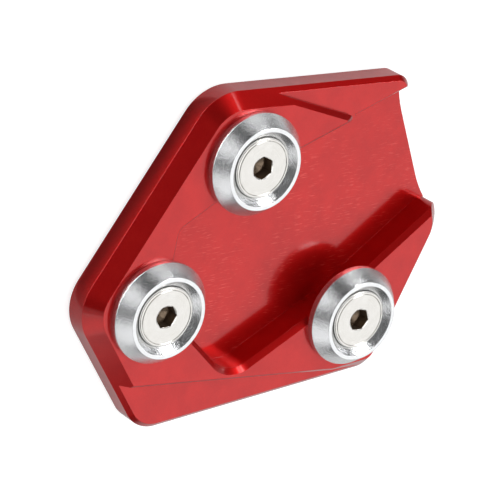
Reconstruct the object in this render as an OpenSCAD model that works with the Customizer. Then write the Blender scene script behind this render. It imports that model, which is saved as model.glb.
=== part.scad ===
// Foot enlarger for a motorcycle's side stand: a milled and anodised plate with a
// pocket that is open at one end, and three conical washers with countersunk bolts
// that clamp the stand's own foot in the pocket.
//
// Every size is in millimetres. The first bolt's axis is the datum of the design:
// X runs to the second bolt and Z points up out of the plate. Corners are given from
// the bolt that they lie nearest to, so the plate follows the bolt pattern.

/* [Bolt pattern] */
// Distance from the first bolt to the second, along X
bolt_2_x = 32.4; // [30:0.1:38]
// X of the third bolt from the first
bolt_3_x = 12.9; // [10:0.1:16]
// Y of the third bolt from the first
bolt_3_y = 42.7; // [40:0.1:50]

/* [Plate] */
// Thickness of the whole plate
plate_t = 8; // [7:0.1:12]
// Floor left under the pocket
floor_t = 2; // [1.5:0.1:3]
// Chamfer round the top edge, width and depth at 45 degrees
edge_chamfer = 2.8; // [1:0.1:3.4]
// Chamfer round the underside, at 45 degrees
under_chamfer = 0.9; // [0.3:0.1:1.5]
// Chamfer along the pocket and the left relief, at 45 degrees
inner_chamfer = 1; // [0.4:0.1:1.4]

/* [Outline] */
// Front left corner, X from the first bolt
front_left_x = -6.4; // [-10:0.1:-2]
// Front left corner, Y from the first bolt
front_left_y = -14.5; // [-20:0.1:-13.5]
// Radius of the front left corner
front_left_r = 10; // [4:0.5:14]
// Front right corner, X from the second bolt
front_right_x = 8.7; // [7:0.1:14]
// Front right corner, Y from the second bolt
front_right_y = -13.8; // [-18:0.1:-13]
// Radius of the front right corner
front_right_r = 9; // [5:0.5:12]
// Right corner, X from the second bolt
right_x = 21.1; // [19:0.1:26]
// Right corner, Y from the second bolt
right_y = 14.6; // [12:0.1:18]
// Radius of the right corner
right_r = 7; // [4:0.5:9]
// Back right corner, X from the third bolt
back_right_x = 5.9; // [4:0.1:9]
// Back right corner, Y from the third bolt
back_right_y = 14.7; // [14:0.1:19]
// Radius of the back right corner
back_right_r = 5; // [3:0.5:9]
// Outer corner of the back rib's open end, X from the third bolt
rib_end_x = -25.3; // [-28:0.1:-22]
// Outer corner of the back rib's open end, Y from the third bolt
rib_end_y = 9.1; // [8:0.1:13]
// Radius of that corner
rib_end_r = 8; // [4:0.5:10]
// Left tip, X from the first bolt
left_tip_x = -30.9; // [-34:0.1:-29]
// Left tip, Y from the first bolt
left_tip_y = 23.2; // [21:0.1:24]
// Radius of the left tip
left_tip_r = 3; // [0.5:0.5:4]

/* [Pocket] */
// Open end of the pocket's front wall, X from the first bolt
front_mouth_x = -29.3; // [-31:0.1:-26]
// Open end of the pocket's front wall, Y from the first bolt
front_mouth_y = 25; // [24.5:0.1:28]
// Bend of the front wall under the first washer, X from the first bolt
front_bend_x = 0.6; // [-1:0.1:2]
// Bend of the front wall under the first washer, Y from the first bolt
front_bend_y = 3.3; // [3:0.1:4.5]
// Front corner of the pocket, X from the second bolt
pocket_front_x = -14.6; // [-17:0.1:-12]
// Front corner of the pocket, Y from the second bolt
pocket_front_y = -5.2; // [-7:0.1:-3]
// Radius of the front corner
pocket_front_r = 2; // [1:0.5:6]
// Point where the sweep's two straight sides would meet, X from the second bolt
sweep_x = -1.2; // [-4:0.1:0]
// Point where the sweep's two straight sides would meet, Y from the second bolt
sweep_y = 2; // [0:0.1:4]
// Radius of the sweep round the second bolt
sweep_r = 22.3; // [15:0.1:24]
// Right corner of the pocket, X from the second bolt
pocket_right_x = 3.4; // [2:0.1:5]
// Right corner of the pocket, Y from the second bolt
pocket_right_y = 24.9; // [22:0.1:27]
// Radius of the right corner
pocket_right_r = 6.5; // [3:0.1:9]
// Bend of the back wall under the third washer, X from the third bolt
back_bend_x = -1.1; // [-3:0.1:1]
// Bend of the back wall under the third washer, Y from the third bolt
back_bend_y = -5.1; // [-6:0.1:-4.5]
// Open end of the pocket's back wall, X from the third bolt
back_mouth_x = -27.1; // [-29:0.1:-25]
// Open end of the pocket's back wall, Y from the third bolt
back_mouth_y = 4.3; // [3:0.1:5]
// Radius on the back rib's upright edge at the open end
rib_edge_r = 1.6; // [1.2:0.1:2.5]
// Depth to which the floor's edge is cut back at the open end
mouth_depth = 0.65; // [0.3:0.05:1.5]
// Radius by which that cut runs out at each side
mouth_r = 23; // [15:1:30]
// Radius of the boss that the first bolt is tapped into
boss_r = 5; // [4.5:0.1:6]

/* [Corner reliefs] */
// Depth of the two low corners under the top face
relief_depth = 1.9; // [1.5:0.1:2.6]
// From the first washer's edge to the top edge of the left relief
left_relief_gap = 2.35; // [1:0.05:6]
// Direction in which the left relief lies from the first bolt, in degrees
left_relief_dir = 195.4; // [190:0.2:200]
// From the second washer's edge to the top edge of the right relief
right_relief_gap = 4.9; // [3:0.1:7]
// Direction in which the right relief lies from the second bolt, in degrees
right_relief_dir = 28.8; // [24:0.2:33]
// Chamfer along the right relief, smaller than along the pocket
right_relief_chamfer = 0.5; // [0.2:0.1:1]
// Radius of the plate's tip between the left relief and the pocket
relief_tip_r = 0.75; // [0.3:0.1:1.2]
// Chamfer along the pocket where it borders on the left relief's floor
lip_chamfer = 0.4; // [0.2:0.1:0.8]
// Where that chamfer ends, from the left relief's straight edge
lip_gap = 0.2; // [0.1:0.1:2]

/* [Washers] */
// Diameter of the washer
washer_d = 20; // [18:0.1:21]
// Height of its straight skirt
skirt_h = 1.3; // [0.8:0.1:2]
// Width of the flat rim between the cone and the 90 degree countersink
rim_w = 0.75; // [0.4:0.05:1]
// How much wider than the bolt's head the countersink's mouth is, at each side
sink_margin = 1.25; // [1:0.05:1.6]
// Height of the straight throat under the countersink
throat_h = 0.25; // [0.15:0.05:0.5]
// Broken edges of the washer
washer_break = 0.15; // [0.05:0.05:0.3]

/* [Bolts] */
// Thread diameter
thread_d = 6; // [5:0.1:6.2]
// Whole length of the bolt, head included
bolt_len = 10; // [8:0.5:11]
// Diameter of the countersunk head
head_d = 12; // [11:0.1:12.8]
// Straight land round the head
head_land = 0.45; // [0.2:0.05:0.7]
// Size of the hex socket across its flats
hex_af = 4; // [3:0.5:5]
// Depth of the hex socket
hex_depth = 2.5; // [1.5:0.1:3]
// Small chamfers on the head's edge and round the socket
head_break = 0.15; // [0.05:0.05:0.25]
// Chamfer on the thread's end
thread_end = 0.6; // [0.3:0.1:1]
// Turn of each bolt's socket, in degrees
hex_turns = [36, 4, 56]; // [0:1:60]

/* [Fits] */
// Radial clearance of a bolt in its washer's throat
throat_gap = 0.5; // [0.3:0.05:0.8]
// Radial clearance of a bolt in its tapped hole
thread_gap = 0.05; // [0.02:0.01:0.1]
// Lead-in chamfer at each end of a tapped hole
lead_in = 0.4; // [0.3:0.05:0.6]

/* [Hidden] */

// Degrees of an arc that one straight step stands for, and the least length of a step
arc_step = 4;
least_step = 0.12;
// Length by which a cutter runs past the face that it cuts
beyond = 2;
// Reach of a cutter that has to clear the whole plate
far = 60;
// Smallest radius that a corner keeps where a chamfer has used its own up
least_r = 0.2;
// Angle under a hex socket, from the axis, that a drill leaves
drill_half_angle = 59;
// How much wider than deep the lead round a hex socket is
socket_lead = 2;
// Sides of the circles of bores, of bolts and of washers
bore_fn = 64;
bolt_fn = 96;
washer_fn = 128;
// Angle at which the pocket's cutter leaves the rib's end
leave_angle = 2;
// From the end of each pocket wall to the corner of the cut at the open end
mouth_front_run = 0.7;
mouth_back_run = 1.4;
// Slope of that cut's sides
mouth_side_angle = 30;
// Height above the floor up to which that cut runs
mouth_rise = 0.5;
// Length by which the left relief's cutter follows the pocket's wall past the tip
tip_run = 6;
// Angle by which the cutter's far side leans away from its straight edge
tip_turn = 20;
// Inset that keeps the walls of two cutters from lying in one plane
seam = 0.05;

// The washer is built out from the bolt: throat, countersink, rim, and then the cone
thread_r = thread_d / 2;
head_r = head_d / 2;
hole_r = thread_r + thread_gap;
throat_r = thread_r + throat_gap;
sink_r = head_r + sink_margin;
rim_r = sink_r + rim_w;
washer_r = washer_d / 2;
washer_h = throat_h + sink_r - throat_r;
// The head's widest edge sits where the countersink is as wide as the head
head_seat_z = plate_t + washer_h - (sink_r - head_r);
head_top_z = head_seat_z + head_land;
bolt_end_z = head_top_z - bolt_len;

bolts = [[0, 0], [bolt_2_x, 0], [bolt_3_x, bolt_3_y]];
left_tip = bolts[0] + [left_tip_x, left_tip_y];
rib_end = bolts[2] + [rib_end_x, rib_end_y];

// The outline's corners, counterclockwise, each as its place and its radius
outline = [
    [bolts[0] + [front_left_x, front_left_y], front_left_r],
    [bolts[1] + [front_right_x, front_right_y], front_right_r],
    [bolts[1] + [right_x, right_y], right_r],
    [bolts[2] + [back_right_x, back_right_y], back_right_r],
    [rib_end, rib_end_r],
    [left_tip, left_tip_r]
];

front_bend = bolts[0] + [front_bend_x, front_bend_y];
front_mouth = bolts[0] + [front_mouth_x, front_mouth_y];
back_bend = bolts[2] + [back_bend_x, back_bend_y];
back_mouth = bolts[2] + [back_mouth_x, back_mouth_y];

// The open end's straight edge runs from the left tip to the rib's end
mouth_dir = unit(rib_end - left_tip);
mouth_out = left_of(mouth_dir);
rib_edge = meet(back_bend, back_mouth - back_bend, left_tip, mouth_dir);

// The pocket's corners. Its front wall runs on past the plate, and its back wall
// turns round the rib's end and leaves the plate at a slight angle.
pocket = [
    [past(front_bend, front_mouth, far), least_r],
    [front_bend, least_r],
    [bolts[1] + [pocket_front_x, pocket_front_y], pocket_front_r],
    [bolts[1] + [sweep_x, sweep_y], sweep_r],
    [bolts[1] + [pocket_right_x, pocket_right_y], pocket_right_r],
    [back_bend, least_r],
    [rib_edge, rib_edge_r],
    [rib_edge + far * rotated(mouth_dir, leave_angle), least_r],
    [rib_edge + far * (mouth_dir + mouth_out), least_r]
];

// The cut along the floor's edge, a shallow trapezium with round corners
mouth = [
    [mouth_point(front_mouth, mouth_front_run), mouth_r],
    [mouth_point(back_mouth, mouth_back_run), mouth_r],
    [mouth_point(back_mouth, mouth_back_run)
        + far * rotated(mouth_dir, mouth_side_angle), least_r],
    [mouth_point(front_mouth, mouth_front_run)
        - far * rotated(mouth_dir, -mouth_side_angle), least_r]
];

// The left relief: its straight edge, the tip between it and the pocket, and a stretch
// of the pocket's front wall
left_out = [cos(left_relief_dir), sin(left_relief_dir)];
left_foot = relief_foot(bolts[0], left_out, left_relief_gap, inner_chamfer);
wall_in = unit(front_bend - front_mouth);
relief_tip = meet(left_foot, left_of(left_out), front_bend + seam * left_of(wall_in), wall_in);
left_relief = [
    [relief_tip - far * rotated(left_of(left_out), tip_turn), least_r],
    [left_foot + far * left_of(left_out) + far * left_out, least_r],
    [left_foot + far * left_of(left_out), least_r],
    [relief_tip, relief_tip_r],
    [relief_tip + tip_run * wall_in, least_r]
];
relief_z = plate_t - relief_depth;

// The frame's origin is the middle of the outline's box, on the underside
edge_points = rounded(outline, 0);
centre_x = (min([for (p = edge_points) p.x]) + max([for (p = edge_points) p.x])) / 2;
centre_y = (min([for (p = edge_points) p.y]) + max([for (p = edge_points) p.y])) / 2;

// Geometry of paths

function unit(v) = v / norm(v);
function left_of(v) = [-v.y, v.x];
function past(from, to, distance) = to + distance * unit(to - from);
function turn(u, v) = atan2(cross(u, v), u * v);

// Where the line through p along u meets the line through q along v
function meet(p, u, q, v) = p + u * cross(q - p, v) / cross(u, v);

// The middle of a relief's straight edge, at the foot of its chamfer
function relief_foot(bolt, out, gap, chamfer) = bolt + (washer_r + gap + chamfer) * out;

// Everything beyond a straight edge that crosses the plate through foot
function side_of(foot, out) =
    let (side = far * left_of(out))
    [
        [foot - side, least_r],
        [foot - side + far * out, least_r],
        [foot + side + far * out, least_r],
        [foot + side, least_r]
    ];

// A point of the open end's cut, beside the end of one of the pocket's walls
function mouth_point(wall_end, run) =
    left_tip + ((wall_end - left_tip) * mouth_dir + run) * mouth_dir
        - mouth_depth * mouth_out;

// A corner at b, moved inward by inset and rounded, as points in order
function corner(a, b, c, r, inset) =
    let (
        u = unit(b - a),
        v = unit(c - b),
        bend = turn(u, v),
        side = sign(bend),
        apex = b + inset * (left_of(u) + left_of(v)) / (1 + u * v),
        round_r = max(r - side * inset, least_r),
        start = apex - round_r * tan(abs(bend) / 2) * u,
        centre = start + side * round_r * left_of(u),
        arc_length = r * abs(bend) * PI / 180,
        steps = max(1, ceil(min(abs(bend) / arc_step, arc_length / least_step)))
    )
    [for (i = [0 : steps])
        centre - side * round_r * rotated(left_of(u), bend * i / steps)];

function rotated(v, angle) = [
    v.x * cos(angle) - v.y * sin(angle),
    v.x * sin(angle) + v.y * cos(angle)
];

// A closed path of corners, moved inward by inset, as points in order
function rounded(path, inset) =
    let (n = len(path))
    [for (i = [0 : n - 1])
        each corner(path[(i + n - 1) % n][0], path[i][0], path[(i + 1) % n][0],
            path[i][1], inset)];

// A solid that follows a path: each level is a height and the inset it has there
module stacked(path, levels) {
    rings = [for (level = levels)
        [for (p = rounded(path, level[1])) [p.x, p.y, level[0]]]];
    n = len(rings[0]);
    top = (len(levels) - 1) * n;
    sides = [for (ring = [0 : len(levels) - 2], i = [0 : n - 1])
        [ring * n + i, (ring + 1) * n + i,
            (ring + 1) * n + (i + 1) % n, ring * n + (i + 1) % n]];
    polyhedron(
        points = [for (ring = rings) each ring],
        faces = concat([[for (i = [0 : n - 1]) i]], sides,
            [[for (i = [n - 1 : -1 : 0]) top + i]]),
        convexity = 6
    );
}

// Puts a solid that is drawn from the first bolt's axis into the part's frame
module in_frame() {
    translate([-centre_x, -centre_y, 0]) children();
}

// The plate's block with both edge chamfers
module block() {
    stacked(outline, [
        [0, under_chamfer],
        [under_chamfer, 0],
        [plate_t - edge_chamfer, 0],
        [plate_t, edge_chamfer]
    ]);
}

// Cutter with straight walls from bottom_z up and a chamfer at the top face
module sunk(path, bottom_z, chamfer) {
    stacked(path, [
        [bottom_z, 0],
        [plate_t - chamfer, 0],
        [plate_t, -chamfer],
        [plate_t + beyond, -chamfer]
    ]);
}

// The low right corner
module right_relief_cut() {
    out = [cos(right_relief_dir), sin(right_relief_dir)];
    foot = relief_foot(bolts[1], out, right_relief_gap, right_relief_chamfer);
    sunk(side_of(foot, out), relief_z, right_relief_chamfer);
}

// The low left corner, and the chamfer that its floor has along the pocket
module left_relief_cut() {
    sunk(left_relief, relief_z, inner_chamfer);
    intersection() {
        stacked(side_of(left_foot + lip_gap * left_out, left_out), [[0, 0], [plate_t, 0]]);
        stacked(pocket, [
            [relief_z - lip_chamfer - beyond, beyond],
            [relief_z + beyond, -lip_chamfer - beyond]
        ]);
    }
}

// The pocket, less the boss that stands in it round the first bolt
module pocket_cut() {
    difference() {
        sunk(pocket, floor_t, inner_chamfer);
        translate([bolts[0].x, bolts[0].y, 0])
            cylinder(r = boss_r, h = plate_t + 2 * beyond, $fn = bore_fn);
    }
}

// The floor's edge at the open end, cut back, with the underside's chamfer
module mouth_cut() {
    stacked(mouth, [
        [-beyond, -under_chamfer - beyond],
        [under_chamfer, 0],
        [floor_t + mouth_rise, 0]
    ]);
}

// A tapped hole with its lead-in at each end
module tapped_hole() {
    translate([0, 0, -beyond])
        cylinder(r = hole_r, h = plate_t + 2 * beyond, $fn = bore_fn);
    translate([0, 0, plate_t - lead_in])
        cylinder(r1 = hole_r, r2 = hole_r + lead_in + beyond, h = lead_in + beyond, $fn = bore_fn);
    translate([0, 0, -beyond])
        cylinder(r1 = hole_r + lead_in + beyond, r2 = hole_r, h = lead_in + beyond, $fn = bore_fn);
}

module plate() {
    color("crimson")
        in_frame()
            difference() {
                block();
                pocket_cut();
                mouth_cut();
                left_relief_cut();
                right_relief_cut();
                for (bolt = bolts)
                    translate([bolt.x, bolt.y, 0]) tapped_hole();
            }
}

// Conical clamp washer: skirt, cone, flat rim and a countersink for the bolt
module washer(bolt) {
    slope = unit([rim_r - washer_r, washer_h - skirt_h]);
    color("gainsboro")
        in_frame()
            translate([bolt.x, bolt.y, plate_t])
                rotate_extrude($fn = washer_fn)
                    polygon([
                        [throat_r, 0],
                        [washer_r - washer_break, 0],
                        [washer_r, washer_break],
                        [washer_r, skirt_h - washer_break],
                        [washer_r, skirt_h] + washer_break * slope,
                        [rim_r, washer_h] - washer_break * slope,
                        [rim_r - washer_break, washer_h],
                        [sink_r, washer_h],
                        [throat_r, throat_h]
                    ]);
}

// Countersunk bolt with a hex socket, drawn at its real height
module bolt(place, hex_turn) {
    hex_r = hex_af / sqrt(3);
    cone_h = head_r - thread_r;
    drill_h = hex_af / 2 / tan(drill_half_angle);
    color("silver")
        in_frame()
            translate([place.x, place.y, 0])
                difference() {
                    rotate_extrude($fn = bolt_fn)
                        polygon([
                            [0, bolt_end_z],
                            [thread_r - thread_end, bolt_end_z],
                            [thread_r, bolt_end_z + thread_end],
                            [thread_r, head_seat_z - cone_h],
                            [head_r, head_seat_z],
                            [head_r, head_top_z - head_break],
                            [head_r - head_break, head_top_z],
                            [0, head_top_z]
                        ]);
                    translate([0, 0, head_top_z - hex_depth])
                        rotate([0, 0, hex_turn])
                            cylinder(r = hex_r, h = hex_depth + beyond, $fn = 6);
                    translate([0, 0, head_top_z - head_break])
                        cylinder(r1 = hex_af / 2, r2 = hex_af / 2 + (head_break + beyond) * socket_lead,
                            h = head_break + beyond, $fn = bore_fn);
                    translate([0, 0, head_top_z - hex_depth - drill_h])
                        cylinder(r1 = 0, r2 = hex_af / 2, h = drill_h, $fn = bore_fn);
                }
}

plate();
washer(bolts[0]);  // washer_1
washer(bolts[1]);  // washer_2
washer(bolts[2]);  // washer_3
bolt(bolts[0], hex_turns[0]);  // bolt_1
bolt(bolts[1], hex_turns[1]);  // bolt_2
bolt(bolts[2], hex_turns[2]);  // bolt_3
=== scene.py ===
"""Looks of a side stand foot enlarger: a milled plate, clamp washers and countersunk bolts.

The plate is red anodised aluminium, the washers are turned and polished, and the bolts
are satin steel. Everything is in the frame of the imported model, in metres where a
docstring doesn't say millimetres.
"""

import logging
import math
from dataclasses import dataclass
from enum import Enum

import bmesh
import bpy
import numpy as np
from mathutils import Matrix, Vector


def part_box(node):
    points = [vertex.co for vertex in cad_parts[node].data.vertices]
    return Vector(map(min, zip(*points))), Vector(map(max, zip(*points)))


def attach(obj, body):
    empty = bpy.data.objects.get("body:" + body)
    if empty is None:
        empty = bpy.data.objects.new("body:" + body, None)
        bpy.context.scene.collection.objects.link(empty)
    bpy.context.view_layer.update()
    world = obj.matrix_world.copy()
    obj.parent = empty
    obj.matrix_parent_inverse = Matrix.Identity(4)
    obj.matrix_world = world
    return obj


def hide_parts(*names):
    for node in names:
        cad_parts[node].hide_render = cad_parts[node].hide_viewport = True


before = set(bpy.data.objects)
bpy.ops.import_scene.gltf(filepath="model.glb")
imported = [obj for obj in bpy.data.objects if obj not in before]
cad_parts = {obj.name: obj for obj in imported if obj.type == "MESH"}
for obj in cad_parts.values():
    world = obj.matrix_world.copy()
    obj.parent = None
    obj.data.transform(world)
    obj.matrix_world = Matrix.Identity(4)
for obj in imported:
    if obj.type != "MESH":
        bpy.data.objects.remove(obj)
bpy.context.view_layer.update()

LOG = logging.getLogger("foot_enlarger")
MM = 0.001
BODY = "root"
ORIGIN = (0.0, 0.0, 0.0)
WHITE = (1.0, 1.0, 1.0, 1.0)
# How far each bolt's socket is turned, in degrees
SOCKET_ANGLES = (36.0, 4.0, 56.0)

Colour = tuple[float, float, float]
Point = tuple[float, float, float]
PlanPoint = tuple[float, float]
Rows = tuple[np.ndarray, np.ndarray]
Socket = bpy.types.NodeSocket


class Slot(Enum):
    """Names of the main materials' slots."""

    PLATE = "anodised_red"
    WASHER = "polished_washer"
    BOLT = "satin_bolt"


class BoltFinish(Enum):
    """Numbers of a bolt's two finishes in its list of materials."""

    HEAD = 0
    SOCKET = 1


@dataclass(frozen=True)
class Levels:
    """Heights of the bolted assembly above the plate's underside, in millimetres."""

    plate_top: float = 8.0
    bolt_end: float = 1.2
    head_seat: float = 10.75
    head_top: float = 11.2


LEVELS = Levels()


# Materials


@dataclass(frozen=True)
class Span:
    """Where a ramp or a range starts, and where it ends."""

    low: float
    high: float


@dataclass(frozen=True)
class Noise:
    """One noise: its scale per millimetre, its detail and its roughness."""

    scale: float
    detail: float
    roughness: float


RISE = Span(0.0, 1.0)
FALL = Span(1.0, 0.0)


class Graph:
    """Adds nodes to the tree of one material or world and wires them."""

    def __init__(self, block: bpy.types.Material | bpy.types.World) -> None:
        """Empties the block's tree.

        Args:
            block: the material or world.
        """
        block.use_nodes = True
        self.block = block
        self.tree = block.node_tree
        self.tree.nodes.clear()

    def add(self, kind: str, inputs: dict | None = None, **settings: str) -> bpy.types.Node:
        """Adds a node.

        Args:
            kind: the node's type without its ShaderNode prefix.
            inputs: values, or other nodes' outputs, by input name or number.
            settings: the node's own properties.

        Returns:
            The node.
        """
        node = self.tree.nodes.new("ShaderNode" + kind)
        for key, value in settings.items():
            setattr(node, key, value)
        for key, value in (inputs or {}).items():
            if isinstance(value, Socket):
                self.tree.links.new(value, node.inputs[key])
            else:
                node.inputs[key].default_value = value
        return node

    def math(self, operation: str, *values: float | Socket) -> Socket:
        """Adds a Math node.

        Args:
            operation: the Math node's operation.
            values: its inputs, in order.

        Returns:
            The result's socket.
        """
        return self.add("Math", dict(enumerate(values)), operation=operation).outputs[0]

    def ramp(self, value: Socket, span: Span, to: Span = RISE) -> Socket:
        """Maps one span onto another, clamped.

        Args:
            value: the socket that is mapped.
            span: values that become the result's two ends.
            to: the result's two ends.

        Returns:
            The mapped socket.
        """
        inputs = {0: value, 1: span.low, 2: span.high, 3: to.low, 4: to.high}
        return self.add("MapRange", inputs).outputs[0]

    def mix(self, share: Socket, first: Socket | Colour, second: Colour) -> Socket:
        """Mixes two colours.

        Args:
            share: how much of the second there is, 0 to 1.
            first: the first colour.
            second: the second colour.

        Returns:
            The mixed colour's socket.
        """
        start = first if isinstance(first, Socket) else (*first, 1.0)
        inputs = {0: share, 6: start, 7: (*second, 1.0)}
        return self.add("Mix", inputs, data_type="RGBA").outputs[2]

    def sum_of(self, first: Socket, second: Socket, second_share: float) -> Socket:
        """Adds two values: first * (1 - second_share) + second * second_share.

        Args:
            first: the first value.
            second: the second value.
            second_share: weight of the second value, 0 to 1.

        Returns:
            The sum's socket.
        """
        parts = ((first, 1.0 - second_share), (second, second_share))
        return self.math("ADD", *(self.math("MULTIPLY", value, share) for value, share in parts))

    def bump(self, height: Socket, distance: float, normal: Socket | None = None) -> Socket:
        """Adds a bump on the surface, or on top of another bump.

        Args:
            height: what stands up, 0 to 1.
            distance: how far it stands up, in millimetres.
            normal: the bump below it.

        Returns:
            The normal's socket.
        """
        inputs = {"Strength": 1.0, "Height": height, "Distance": distance * MM}
        if normal is not None:
            inputs["Normal"] = normal
        return self.add("Bump", inputs).outputs[0]

    def local(self, centre: Point, turn: float = 0.0, scale: Point = (1.0, 1.0, 1.0)) -> Socket:
        """Object coordinates in millimetres from a centre, turned about Z and scaled.

        Args:
            centre: the point that becomes the origin, in metres.
            turn: angle of the pattern's X axis from the object's, in radians.
            scale: scale of each axis of the pattern, per millimetre.

        Returns:
            The vector's socket.
        """
        place = self.add("TexCoord").outputs["Object"]
        # A Mapping node scales before it turns, so each step has a node of its own
        steps = (("Location", [-c for c in centre]), ("Rotation", (0.0, 0.0, -turn)),
                 ("Scale", [s / MM for s in scale]))
        for name, value in steps:
            place = self.add("Mapping", {"Vector": place, name: value}).outputs[0]
        return place

    def noise(self, vector: Socket, noise: Noise) -> Socket:
        """Adds a noise texture.

        Args:
            vector: where the noise is read.
            noise: the noise.

        Returns:
            The value's socket.
        """
        inputs = {"Vector": vector, "Scale": noise.scale, "Detail": noise.detail,
                  "Roughness": noise.roughness}
        return self.add("TexNoise", inputs).outputs["Fac"]

    def finish(self, shader: bpy.types.Node,
               output: str = "OutputMaterial") -> bpy.types.Material | bpy.types.World:
        """Wires a shader to the output.

        Args:
            shader: the node whose first output is the surface.
            output: the output node's type without its ShaderNode prefix.

        Returns:
            The material or world.
        """
        self.add(output, {"Surface": shader.outputs[0]})
        return self.block


@dataclass(frozen=True)
class AnodisedRed:
    """Dyed and sealed aluminium: a red metal under a clear oxide, with a cutter's marks.

    The marks are short light scratches on the pocket's floor, along the cutter's path.
    Heights, and distances from the floor, are in millimetres.
    """

    colour: Colour = (0.57, 0.0085, 0.008)
    deep: Colour = (0.50, 0.0055, 0.006)
    scratch: Colour = (0.72, 0.06, 0.05)
    metallic: float = 0.85
    ior: float = 1.5
    roughness: float = 0.36
    roughness_swing: float = 0.02
    scratch_roughness: float = 0.10
    oxide_roughness: float = 0.12
    oxide_ior: float = 1.5
    floor_height: float = 2.0
    floor_fade: Span = Span(0.05, 0.15)
    path_turn: float = math.radians(125.0)
    path_stretch: Point = (0.42, 4.2, 1.0)
    path: Noise = Noise(1.0, 2.0, 0.55)
    path_span: Span = Span(0.58, 0.71)
    patch_centre: Point = (0.004, -0.003, 0.0)
    patch: Noise = Noise(0.13, 2.0, 0.5)
    patch_span: Span = Span(0.40, 0.58)
    scratch_height: float = 0.004
    grain: Noise = Noise(2.6, 4.0, 0.6)
    grain_height: float = 0.0035
    cloud: Noise = Noise(0.22, 4.0, 0.55)
    cloud_share: float = 0.7
    cloud_span: Span = Span(0.35, 0.65)
    tone_span: Span = Span(0.38, 0.62)

    def scratches(self, g: Graph) -> Socket:
        """Mask of the scratches: thin stretched noise, only where a broad noise is high.

        Args:
            g: the material's nodes.

        Returns:
            The mask's socket, 0 to 1.
        """
        height = g.add("SeparateXYZ", {0: g.local(ORIGIN)}).outputs[2]
        off_floor = g.math("ABSOLUTE", g.math("SUBTRACT", height, self.floor_height))
        path = g.noise(g.local(ORIGIN, self.path_turn, self.path_stretch), self.path)
        patch = g.noise(g.local(self.patch_centre), self.patch)
        line = g.math("MULTIPLY", g.ramp(path, self.path_span), g.ramp(patch, self.patch_span))
        return g.math("MULTIPLY", line, g.ramp(off_floor, self.floor_fade, FALL))

    def material(self) -> bpy.types.Material:
        """Makes the material.

        Returns:
            The material.
        """
        g = Graph(bpy.data.materials.new("anodised_red"))
        place = g.local(ORIGIN)
        line = self.scratches(g)
        grain = g.noise(place, self.grain)
        cloud = g.noise(place, self.cloud)
        tone = g.ramp(g.sum_of(grain, cloud, self.cloud_share), self.tone_span)
        colour = g.mix(line, g.mix(tone, self.deep, self.colour), self.scratch)
        swing = Span(self.roughness + self.roughness_swing, self.roughness - self.roughness_swing)
        rough = g.math("ADD", g.ramp(cloud, self.cloud_span, swing),
                       g.math("MULTIPLY", line, self.scratch_roughness))
        normal = g.bump(grain, self.grain_height, g.bump(line, self.scratch_height))
        return g.finish(g.add("BsdfPrincipled", {
            "Base Color": colour,
            "Metallic": self.metallic,
            "Roughness": rough,
            "IOR": self.ior,
            "Specular IOR Level": 0.0,
            "Coat Weight": 1.0,
            "Coat Roughness": self.oxide_roughness,
            "Coat IOR": self.oxide_ior,
            "Normal": normal,
        }))


@dataclass(frozen=True)
class Turned:
    """Bright metal with a lathe's rings round an axis, slight waves and shallow dents.

    The heights of the rings, waves and dents are in millimetres. From the dull places
    to the bright ones, the roughness goes from roughest to smoothest times its value.
    """

    name: str
    colour: Colour
    dull: Colour
    metallic: float
    roughness: float
    rings: Noise
    ring_height: float
    waves: Noise
    wave_height: float
    dent_height: float
    dents: Noise = Noise(2.4, 5.0, 0.75)
    soil: Noise = Noise(0.5, 4.0, 0.6)
    soil_share: float = 0.5
    colour_span: Span = Span(0.3, 0.6)
    rough_span: Span = Span(0.3, 0.7)
    roughest: float = 1.25
    smoothest: float = 0.8

    def material(self, number: int, centre: Point) -> bpy.types.Material:
        """Makes the material for a piece that was turned about a vertical axis.

        Args:
            number: the piece's number, for the material's name.
            centre: a point on the axis, in metres.

        Returns:
            The material.
        """
        g = Graph(bpy.data.materials.new(f"{self.name}_{number}"))
        place = g.local(centre)
        x, y, height = g.add("SeparateXYZ", {0: place}).outputs
        squares = (g.math("POWER", x, 2.0), g.math("POWER", y, 2.0))
        radius = g.math("SQRT", g.math("ADD", *squares))
        ring_place = g.add("CombineXYZ", {0: radius, 1: height}).outputs[0]
        rings = g.noise(ring_place, self.rings)
        tone = g.sum_of(rings, g.noise(place, self.soil), self.soil_share)
        colour = g.mix(g.ramp(tone, self.colour_span), self.dull, self.colour)
        swing = Span(self.roughness * self.roughest, self.roughness * self.smoothest)
        cut = g.bump(rings, self.ring_height)
        wavy = g.bump(g.noise(place, self.waves), self.wave_height, cut)
        dented = g.bump(g.noise(place, self.dents), self.dent_height, wavy)
        return g.finish(g.add("BsdfPrincipled", {
            "Base Color": colour,
            "Metallic": self.metallic,
            "Roughness": g.ramp(tone, self.rough_span, swing),
            "Normal": dented,
        }))


WASHER_METAL = Turned(
    name="polished_washer", colour=(0.88, 0.89, 0.90), dull=(0.78, 0.79, 0.81),
    metallic=0.92, roughness=0.18, rings=Noise(9.0, 4.0, 0.7), ring_height=0.002,
    waves=Noise(1.1, 3.0, 0.55), wave_height=0.03, dent_height=0.05,
)
BOLT_METAL = Turned(
    name="satin_bolt", colour=(0.80, 0.785, 0.755), dull=(0.73, 0.71, 0.67),
    metallic=0.9, roughness=0.24, rings=Noise(5.0, 4.0, 0.7), ring_height=0.008,
    waves=Noise(0.8, 3.0, 0.55), wave_height=0.01, dent_height=0.004,
)
# The socket's dark brown is partly an oily tone and partly painted shade for the deep hex hole
SOCKET_METAL = Turned(
    name="oily_shaded_socket", colour=(0.25, 0.185, 0.13), dull=(0.12, 0.085, 0.055),
    metallic=0.8, roughness=0.34, rings=Noise(4.0, 4.0, 0.7), ring_height=0.01,
    waves=Noise(1.4, 3.0, 0.55), wave_height=0.03, dent_height=0.01,
)


# Meshes


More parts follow.
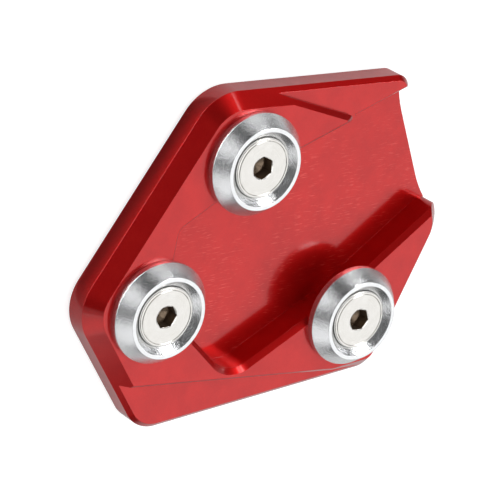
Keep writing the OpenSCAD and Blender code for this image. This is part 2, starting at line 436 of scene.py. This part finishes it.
def arc_corners(points: np.ndarray, radii: np.ndarray, steps: int) -> np.ndarray:
    """A polyline with each corner replaced by an arc.

    At corner B between A and C, with u and v the unit vectors to A and to C and h half
    the angle between them, the arc of radius r touches both sides at r / tan(h) from B,
    and its centre is at B + r / sin(h) * unit(u + v). The arc is the set of points
    centre + r * unit(T), where T turns evenly from one touching point to the other.

    Args:
        points: closed polyline, one corner a row, (n, 2).
        radii: each corner's radius, (n,).
        steps: straight steps to an arc.

    Returns:
        The rounded closed polyline, (n * (steps + 1), 2).
    """
    before = np.roll(points, 1, axis=0) - points
    after = np.roll(points, -1, axis=0) - points
    u = before / np.linalg.norm(before, axis=1, keepdims=True)
    v = after / np.linalg.norm(after, axis=1, keepdims=True)
    half = np.arccos(np.clip((u * v).sum(1), -1.0, 1.0)) / 2
    reach = (radii / np.tan(half))[:, None]
    middle = (u + v) / np.linalg.norm(u + v, axis=1, keepdims=True)
    centre = points + (radii / np.sin(half))[:, None] * middle
    start = points + reach * u - centre
    end = points + reach * v - centre
    from_angle = np.arctan2(start[:, 1], start[:, 0])
    sweep = np.arctan2(start[:, 0] * end[:, 1] - start[:, 1] * end[:, 0], (start * end).sum(1))
    share = np.linspace(0.0, 1.0, steps + 1)
    angle = from_angle[:, None] + sweep[:, None] * share[None, :]
    arcs = np.stack([np.cos(angle), np.sin(angle)], axis=-1) * radii[:, None, None]
    return (centre[:, None, :] + arcs).reshape(-1, 2)


def grid_faces(rows: int, columns: int, closed_rows: bool) -> np.ndarray:
    """Quads of a grid whose columns close round, and whose rows may close too.

    Vertex (i, j) has number i * columns + j; a quad joins rows i and i + 1 with columns
    j and j + 1, taken modulo the counts. With the radius to the right and the height
    upwards, rows that run clockwise round the solid give faces that point outwards.

    Args:
        rows: number of rows.
        columns: number of columns.
        closed_rows: whether the last row joins the first.

    Returns:
        Vertex numbers, four a face, (faces, 4).
    """
    i = np.arange(rows if closed_rows else rows - 1)[:, None] * columns
    j = np.arange(columns)[None, :]
    i_next = (i + columns) % (rows * columns)
    j_next = (j + 1) % columns
    corners = (i_next + j, i_next + j_next, i + j_next, i + j)
    return np.stack(np.broadcast_arrays(*corners), axis=-1).reshape(-1, 4)


def turned_points(centre: PlanPoint, r: np.ndarray, z: np.ndarray, angle: np.ndarray) -> np.ndarray:
    """Points of a surface round an axis: S(row, a) = centre + (r cos a, r sin a, z).

    Args:
        centre: the axis in plan, in metres.
        r: radii in millimetres, (rows, columns) or (rows, 1).
        z: heights in millimetres, the same.
        angle: angles of the columns, (columns,).

    Returns:
        The points in millimetres, row by row, (rows * columns, 3).
    """
    x = centre[0] / MM + r * np.cos(angle)[None, :]
    y = centre[1] / MM + r * np.sin(angle)[None, :]
    return np.stack(np.broadcast_arrays(x, y, z), axis=-1).reshape(-1, 3)


def around(columns: int) -> np.ndarray:
    """Angles of the columns of a surface round an axis, in radians."""
    return np.linspace(0.0, 2.0 * np.pi, columns, endpoint=False)


def add_piece(name: str, mesh: bpy.types.Mesh, node: str) -> bpy.types.Object:
    """Puts a mesh in the scene as a piece that rides on the plate's body.

    Args:
        name: the piece's name.
        mesh: the piece's mesh.
        node: the CAD node that the piece stands for.

    Returns:
        The object.
    """
    piece = bpy.data.objects.new(name, mesh)
    bpy.context.scene.collection.objects.link(piece)
    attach(piece, BODY)
    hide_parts(node)
    return piece


def smooth_mesh(name: str, points: np.ndarray, faces: list[list[int]],
                sharp: float) -> bpy.types.Mesh:
    """Makes a smooth mesh with sharp edges.

    Args:
        name: the mesh's name.
        points: vertices in millimetres, (n, 3).
        faces: vertex numbers of each face.
        sharp: angle above which an edge is sharp, in radians.

    Returns:
        The mesh.
    """
    mesh = bpy.data.meshes.new(name)
    mesh.from_pydata((points * MM).tolist(), [], faces)
    mesh.shade_smooth()
    mesh.set_sharp_from_angle(angle=sharp)
    return mesh


# Sub-assemblies


@dataclass
class FootPlate:
    """The milled plate, with its edges broken as a deburring tool leaves them."""

    name: str = "milled_plate"
    node: str = "plate"
    weld: float = 0.06 * MM
    level_angle: float = math.radians(0.05)
    edge_break: float = 0.05 * MM
    break_segments: int = 3
    break_angle: float = math.radians(14.0)
    flat_weight: int = 100
    finish: AnodisedRed = AnodisedRed()

    def shape(self) -> bpy.types.Mesh:
        """Merges a copy of the frame's own solid into one surface of few faces.

        Returns:
            The mesh.
        """
        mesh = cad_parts[self.node].data.copy()
        mesh.name = self.name
        work = bmesh.new()
        work.from_mesh(mesh)
        bmesh.ops.remove_doubles(work, verts=work.verts, dist=self.weld)
        bmesh.ops.dissolve_limit(work, angle_limit=self.level_angle, verts=work.verts,
                                 edges=work.edges, use_dissolve_boundaries=False)
        work.to_mesh(mesh)
        work.free()
        mesh.shade_smooth()
        return mesh

    def break_edges(self, piece: bpy.types.Object) -> None:
        """Puts a small round on each edge, and keeps the faces between them flat.

        Args:
            piece: the plate.
        """
        edges = piece.modifiers.new("broken_edges", "BEVEL")
        edges.width = self.edge_break
        edges.segments = self.break_segments
        edges.limit_method = "ANGLE"
        edges.angle_limit = self.break_angle
        edges.use_clamp_overlap = False
        edges.miter_outer = "MITER_ARC"
        normals = piece.modifiers.new("flat_faces", "WEIGHTED_NORMAL")
        normals.mode = "FACE_AREA"
        normals.weight = self.flat_weight

    def build(self) -> bpy.types.Object:
        """Makes the plate and dresses it.

        Returns:
            The object.
        """
        mesh = self.shape()
        mesh.materials.clear()
        mesh.materials.append(self.finish.material())
        piece = add_piece(self.name, mesh, self.node)
        self.break_edges(piece)
        return piece


@dataclass
class ClampWasher:
    """One conical washer: skirt, cone, flat rim, 90 degree countersink and throat.

    Sizes are in millimetres, and heights are from the plate's top face. The edges'
    radii start at the throat's foot and go round by the skirt.
    """

    number: int
    centre: PlanPoint
    radius: float = 10.0
    skirt: float = 1.3
    height: float = 4.0
    rim_out: float = 8.0
    rim_in: float = 7.25
    throat: float = 3.5
    edge_radii: tuple[float, ...] = (0.04, 0.16, 0.3, 0.16, 0.10, 0.05)
    columns: int = 192
    arc_steps: int = 4
    sharp: float = math.radians(50.0)
    metal: Turned = WASHER_METAL

    def profile(self) -> np.ndarray:
        """The closed outline P(t) = (r, z) that is carried round the axis.

        Returns:
            Radii and heights, clockwise, (points, 2).
        """
        corners = np.array([
            [self.throat, 0.0],
            [self.radius, 0.0],
            [self.radius, self.skirt],
            [self.rim_out, self.height],
            [self.rim_in, self.height],
            [self.throat, self.height - (self.rim_in - self.throat)],
        ])
        return arc_corners(corners, np.array(self.edge_radii), self.arc_steps)[::-1]

    def build(self) -> bpy.types.Object:
        """Makes the washer and dresses it.

        Returns:
            The object.
        """
        name = f"turned_washer_{self.number}"
        profile = self.profile()
        r, z = profile[:, :1], profile[:, 1:] + LEVELS.plate_top
        points = turned_points(self.centre, r, z, around(self.columns))
        faces = grid_faces(len(profile), self.columns, closed_rows=True)
        mesh = smooth_mesh(name, points, faces.tolist(), self.sharp)
        mesh.materials.append(self.metal.material(self.number, (*self.centre, 0.0)))
        return add_piece(name, mesh, f"washer_{self.number}")


@dataclass
class CountersunkBolt:
    """One M6 countersunk bolt with a hex socket and a real thread.

    Sizes are in millimetres. The drill's, face's and groove's rows say where the mesh
    has its rings: as shares of the drill's radius, as radii, and as shares of the
    groove's width with how deep each lies.
    """

    number: int
    centre: PlanPoint
    socket_turn: float
    head_r: float = 6.0
    land_r: float = 5.85
    land_step: float = 0.05
    seat_bevel: float = 0.03
    thread_r: float = 3.0
    thread_step: float = 0.02
    pitch: float = 1.0
    thread_depth: float = 0.6
    thread_slope: float = 1.5
    thread_land: float = 0.25
    rows_per_turn: int = 14
    run_out: float = 1.2
    end_chamfer: float = 0.6
    across_flats: float = 4.0
    socket_depth: float = 2.5
    socket_step: float = 0.05
    drill_share: float = 0.92
    drill_slope: float = 0.6
    drill_rows: tuple[float, ...] = (0.02, 0.5, 0.98)
    drill_tip: float = 0.01
    lead: float = 0.15
    lead_slope: float = 2.2
    lead_rows: int = 5
    face_rows: tuple[float, ...] = (2.6, 3.6, 4.6)
    groove_r: float = 5.3
    groove_width: float = 0.22
    groove_depth: float = 0.09
    groove_across: tuple[float, ...] = (-0.6, -0.5, 0.0, 0.5, 0.6)
    groove_down: tuple[float, ...] = (0.0, 0.0, 1.0, 0.0, 0.0)
    head_round: float = 0.32
    round_rows: int = 5
    cone_start: float = 0.05
    cone_rows: int = 6
    columns: int = 144
    sharp: float = math.radians(28.0)
    metal: Turned = BOLT_METAL
    # socket_metal is dark brown: an oily tone with painted shade for the hex hole
    socket_metal: Turned = SOCKET_METAL

    def hexagon(self, angle: np.ndarray) -> np.ndarray:
        """Radius of the socket's wall: (flats / 2) / cos(a), a from the nearest flat's middle.

        Args:
            angle: angles of the columns, (columns,).

        Returns:
            The radii, (columns,).
        """
        sixth = np.pi / 3
        from_flat = (angle - self.socket_turn) % sixth - sixth / 2
        return self.across_flats / 2 / np.cos(from_flat)

    def socket(self, angle: np.ndarray) -> Rows:
        """Rows from the drill point up the socket's walls to the round lead.

        In the lead, the wall is max(hexagon(a), cone(z)); under the walls, a drill's
        cone runs down to a point on the axis.

        Args:
            angle: angles of the columns, (columns,).

        Returns:
            Radii and heights of the rows, each (rows, columns).
        """
        top = LEVELS.head_top
        floor = top - self.socket_depth
        drill = self.across_flats / 2 * self.drill_share
        down = np.array(self.drill_rows)[:, None]
        shape = (len(down), len(angle))
        cone_r = np.broadcast_to(drill * down, shape)
        cone_z = np.broadcast_to(floor - (1.0 - down) * drill * self.drill_slope, shape)
        rise = np.concatenate([
            [floor, floor + self.socket_step, (floor + top) / 2],
            top - self.lead * np.linspace(1.0, 0.0, self.lead_rows + 1),
        ])[:, None]
        lead_r = self.across_flats / 2 + (rise - top + self.lead) * self.lead_slope
        wall_r = np.maximum(self.hexagon(angle)[None, :], lead_r)
        wall_z = np.broadcast_to(rise, wall_r.shape)
        return np.concatenate([cone_r, wall_r]), np.concatenate([cone_z, wall_z])

    def head(self, angle: np.ndarray) -> Rows:
        """Rows over the face and its groove, round the land and down the countersunk cone.

        Args:
            angle: angles of the columns, (columns,).

        Returns:
            Radii and heights of the rows, each (rows, columns).
        """
        top, seat = LEVELS.head_top, LEVELS.head_seat
        land, bend = self.land_r, self.head_round
        arc = np.linspace(0.0, np.pi / 2, self.round_rows)
        cone = np.linspace(self.cone_start, 1.0, self.cone_rows)
        r = np.concatenate([
            self.face_rows,
            self.groove_r + self.groove_width * np.array(self.groove_across),
            land - bend + bend * np.sin(arc),
            [land, land - self.land_step],
            land - (land - self.thread_r) * cone,
        ])
        z = np.concatenate([
            np.full(len(self.face_rows), top),
            top - self.groove_depth * np.array(self.groove_down),
            top - bend + bend * np.cos(arc),
            [seat + self.seat_bevel, seat - self.seat_bevel],
            seat - (self.head_r - self.thread_r) * cone,
        ])
        shape = (len(r), len(angle))
        return np.broadcast_to(r[:, None], shape), np.broadcast_to(z[:, None], shape)

    def thread(self, angle: np.ndarray) -> Rows:
        """Rows down the thread to its chamfered end.

        With s = frac(z / pitch - a / 2 pi), the groove is
        r = R - depth * fade(z) * clip(slope * (1 - |2 s - 1|) - land, 0, 1),
        and the end's chamfer caps it at end_r + (z - end).

        Args:
            angle: angles of the columns, (columns,).

        Returns:
            Radii and heights of the rows, each (rows, columns).
        """
        top = LEVELS.head_seat - (self.head_r - self.thread_r)
        end = LEVELS.bolt_end
        rows = int((top - end) / self.pitch * self.rows_per_turn)
        z = np.linspace(top - self.thread_step, end, rows)[:, None]
        share = (z / self.pitch - angle[None, :] / (2 * np.pi)) % 1.0
        flank = self.thread_slope * (1.0 - np.abs(2.0 * share - 1.0)) - self.thread_land
        fade = np.clip((top - z) / self.run_out, 0.0, 1.0)
        cap = self.thread_r - self.end_chamfer + (z - end)
        groove = self.thread_depth * fade * np.clip(flank, 0.0, 1.0)
        r = np.minimum(self.thread_r - groove, cap)
        return r, np.broadcast_to(z, r.shape)

    def shape(self) -> tuple[bpy.types.Mesh, np.ndarray]:
        """One surface S(row, a) from the socket's point to the middle of the end.

        Returns:
            The mesh, and the number of each face's finish.
        """
        angle = self.socket_turn + around(self.columns)
        parts = (self.socket(angle), self.head(angle), self.thread(angle))
        r, z = (np.concatenate(rows) for rows in zip(*parts))
        rows, columns = r.shape
        axis = [c / MM for c in self.centre]
        poles = [[*axis, z[0, 0] - self.drill_tip], [*axis, z[-1, 0]]]
        points = np.concatenate([turned_points(self.centre, r, z, angle), poles])
        quads = grid_faces(rows, columns, closed_rows=False)
        first = np.arange(columns)
        onward = (first + 1) % columns
        tip, middle, last = rows * columns, rows * columns + 1, (rows - 1) * columns
        tip_fan = np.stack([np.full(columns, tip), first, onward], axis=-1)
        end_fan = np.stack([np.full(columns, middle), last + onward, last + first], axis=-1)
        faces = quads.tolist() + tip_fan.tolist() + end_fan.tolist()
        # The socket's rows and the drill point get the dark brown finish: an oily tone with painted
        # shade
        oily_shaded_rows = len(parts[0][0]) - self.lead_rows
        finish = np.full(len(faces), BoltFinish.HEAD.value, dtype=np.int32)
        finish[:oily_shaded_rows * columns] = BoltFinish.SOCKET.value
        finish[len(quads):len(quads) + columns] = BoltFinish.SOCKET.value
        return smooth_mesh(f"socket_bolt_{self.number}", points, faces, self.sharp), finish

    def build(self) -> bpy.types.Object:
        """Makes the bolt and dresses it.

        Returns:
            The object.
        """
        mesh, finish = self.shape()
        for metal in (self.metal, self.socket_metal):
            mesh.materials.append(metal.material(self.number, (*self.centre, 0.0)))
        mesh.polygons.foreach_set("material_index", finish)
        name = f"socket_bolt_{self.number}"
        return add_piece(name, mesh, f"bolt_{self.number}")


# Studio


def placed(across: np.ndarray, up: np.ndarray, out: np.ndarray, place: np.ndarray) -> Matrix:
    """Matrix of a thing whose X, Y and Z axes and place are given.

    Args:
        across: its X axis.
        up: its Y axis.
        out: its Z axis.
        place: its origin, in metres.

    Returns:
        The matrix.
    """
    rows = np.stack([across, up, out, place], axis=-1).tolist()
    return Matrix([*rows, (0.0, 0.0, 0.0, 1.0)])


def make_sheet(name: str, low: PlanPoint, high: PlanPoint, z: float,
               paint: bpy.types.Material) -> bpy.types.Object:
    """Makes one level rectangle of the studio.

    Args:
        name: its name.
        low: lowest x and y.
        high: highest x and y.
        z: its height.
        paint: its material.

    Returns:
        The object.
    """
    mesh = bpy.data.meshes.new(name)
    corners = [(*low, z), (high[0], low[1], z), (*high, z), (low[0], high[1], z)]
    mesh.from_pydata(corners, [], [(0, 1, 2, 3)])
    mesh.materials.append(paint)
    sheet = bpy.data.objects.new(name, mesh)
    bpy.context.scene.collection.objects.link(sheet)
    return sheet


@dataclass(frozen=True)
class FloorPaint:
    """Pale matt paint, lifted to white where it is seen, that keeps the shadow."""

    colour: Colour = (0.42, 0.42, 0.42)
    lift: float = 0.8
    mirrored_lift: float = 0.2

    def material(self) -> bpy.types.Material:
        """Makes the material.

        Returns:
            The material.
        """
        g = Graph(bpy.data.materials.new("studio_floor"))
        seen = g.add("LightPath").outputs
        mirrored = g.math("MAXIMUM", seen["Is Glossy Ray"], seen["Is Transmission Ray"])
        lift = g.math("ADD", g.math("MULTIPLY", seen["Is Camera Ray"], self.lift),
                      g.math("MULTIPLY", mirrored, self.mirrored_lift))
        matt = g.add("BsdfDiffuse", {"Color": (*self.colour, 1.0)})
        glow = g.add("Emission", {"Color": WHITE, "Strength": lift})
        return g.finish(g.add("AddShader", {0: matt.outputs[0], 1: glow.outputs[0]}))


@dataclass(frozen=True)
class Card:
    """A level card before the plate's front edge, which only reflections show.

    It is solid within a distance of its middle, and fades to clear at its two ends.
    """

    name: str
    low: PlanPoint
    high: PlanPoint
    colour: Colour
    glow: float
    middle: float = 0.005
    solid: float = 0.018

    def material(self) -> bpy.types.Material:
        """Makes the card's paint.

        Returns:
            The material.
        """
        g = Graph(bpy.data.materials.new(self.name))
        across = g.add("SeparateXYZ", {0: g.add("TexCoord").outputs["Object"]}).outputs[0]
        off = g.math("ABSOLUTE", g.math("SUBTRACT", across, self.middle))
        cover = g.ramp(off, Span(self.solid, self.high[0] - self.middle), FALL)
        clear = g.add("BsdfTransparent")
        paint = g.add("BsdfPrincipled", {
            "Base Color": (*self.colour, 1.0),
            "Roughness": 1.0,
            "Specular IOR Level": 0.0,
            "Emission Color": WHITE,
            "Emission Strength": self.glow,
        })
        return g.finish(g.add("MixShader", {0: cover, 1: clear.outputs[0], 2: paint.outputs[0]}))

    def build(self, z: float) -> None:
        """Makes the card.

        Args:
            z: its height.
        """
        sheet = make_sheet(self.name, self.low, self.high, z, self.material())
        sheet.visible_camera = False
        sheet.visible_diffuse = False
        sheet.visible_shadow = False


@dataclass(frozen=True)
class SoftBox:
    """A soft box that faces the object. Azimuth 0 is the camera's side, and 90 is +X."""

    name: str
    azimuth: float
    elevation: float
    width: float
    height: float
    radiance: float
    distance: float = 0.9

    def build(self) -> None:
        """Makes the area lamp, whose power is pi * area * radiance."""
        data = bpy.data.lights.new(self.name, "AREA")
        data.shape = "RECTANGLE"
        data.size, data.size_y = self.width, self.height
        data.energy = math.pi * self.width * self.height * self.radiance
        lamp = bpy.data.objects.new(self.name, data)
        bpy.context.scene.collection.objects.link(lamp)
        a, e = math.radians(self.azimuth), math.radians(self.elevation)
        out = np.array([math.sin(a) * math.cos(e), -math.cos(a) * math.cos(e), math.sin(e)])
        across = np.array([math.cos(a), math.sin(a), 0.0])
        lamp.matrix_world = placed(across, np.cross(out, across), out, out * self.distance)


@dataclass(frozen=True)
class PhotoCamera:
    """The photograph's camera: its place, and where the image's right, down and depth point."""

    lens: float = 206.0
    sensor_width: float = 36.0
    clip: Span = Span(0.01, 50.0)
    place: Point = (0.01677526, -0.37473795, 0.39544992)
    right: Point = (-0.54341384, 0.60109724, 0.58598934)
    down: Point = (0.83903834, 0.41116434, 0.35631244)
    forward: Point = (-0.02675949, 0.68529264, -0.72777602)

    def build(self) -> None:
        """Makes the camera and gives it to the scene."""
        data = bpy.data.cameras.new("photo_camera")
        data.sensor_width = self.sensor_width
        data.lens = self.lens
        data.clip_start, data.clip_end = self.clip.low, self.clip.high
        camera = bpy.data.objects.new("photo_camera", data)
        bpy.context.scene.collection.objects.link(camera)
        up, out = -np.array(self.down), -np.array(self.forward)
        camera.matrix_world = placed(np.array(self.right), up, out, np.array(self.place))
        bpy.context.scene.camera = camera


@dataclass
class Studio:
    """Floor, cards, dome, world, soft boxes and camera.

    Of the two cards, the dark one is what the plate's front edge mirrors, and the
    bright one beyond it lights the edge's dye.
    """

    floor_half: float = 4.0
    floor_drop: float = 0.00004
    floor_paint: FloorPaint = FloorPaint()
    world_level: float = 0.03
    dome_irradiance: float = 0.2
    dome_angle: float = math.radians(150.0)
    camera: PhotoCamera = PhotoCamera()
    cards: tuple[Card, ...] = (
        Card("dark_card", (-0.05, -0.0428), (0.05, -0.0362), (0.12, 0.12, 0.12), 0.0),
        Card("bright_card", (-0.05, -0.060), (0.05, -0.0429), (0.42, 0.42, 0.42), 4.4),
    )
    boxes: tuple[SoftBox, ...] = (
        SoftBox("back_box", 180.0, 47.0, 1.3, 1.0, 1.10),
        SoftBox("right_box", 82.5, 20.0, 0.70, 0.58, 0.95),
        SoftBox("right_fade", 52.5, 20.0, 0.22, 0.50, 0.5),
        SoftBox("left_strip", -81.0, 29.0, 0.07, 0.20, 3.6),
        SoftBox("low_left_box", -69.0, 11.0, 0.58, 0.24, 0.95),
        SoftBox("high_left_box", -91.0, 40.0, 0.54, 0.17, 10.0),
        SoftBox("front_box", 4.0, 24.5, 0.60, 0.33, 1.2),
        SoftBox("top_box", 10.0, 86.0, 0.8, 0.5, 1.8),
    )

    def build_dome(self) -> None:
        """Makes the even light from above that fills the shadows and isn't mirrored."""
        data = bpy.data.lights.new("dome", "SUN")
        data.angle = self.dome_angle
        data.energy = math.pi * self.dome_irradiance
        dome = bpy.data.objects.new("dome", data)
        dome.visible_glossy = False
        bpy.context.scene.collection.objects.link(dome)

    def build_world(self) -> None:
        """Makes a dim even world, white where the camera looks straight into it."""
        g = Graph(bpy.data.worlds.new("studio_world"))
        seen = g.add("LightPath").outputs["Is Camera Ray"]
        level = g.ramp(seen, RISE, Span(self.world_level, 1.0))
        bpy.context.scene.world = g.finish(g.add("Background", {"Strength": level}), "OutputWorld")

    def build(self) -> None:
        """Makes the whole studio."""
        bpy.context.scene.view_settings.view_transform = "Standard"
        self.camera.build()
        half = self.floor_half
        make_sheet("studio_floor", (-half, -half), (half, half), -self.floor_drop,
                   self.floor_paint.material())
        for card in self.cards:
            card.build(self.floor_drop)
        self.build_dome()
        self.build_world()
        for box in self.boxes:
            box.build()


def node_centre(node: str) -> PlanPoint:
    """Middle of a CAD node's box in plan, in metres."""
    low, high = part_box(node)
    return (low.x + high.x) / 2, (low.y + high.y) / 2


def main() -> None:
    """Builds the plate, the washers, the bolts and the studio in order."""
    logging.basicConfig(level=logging.INFO, format="%(name)s: %(message)s")
    pieces = [FootPlate().build()]
    for number, angle in enumerate(SOCKET_ANGLES, start=1):
        centre = node_centre(f"washer_{number}")
        pieces.append(ClampWasher(number, centre).build())
        pieces.append(CountersunkBolt(number, centre, math.radians(angle)).build())
    for piece in pieces:
        LOG.info("%s: %d faces", piece.name, len(piece.data.polygons))
    Studio().build()


if __name__ == "__main__":
    main()
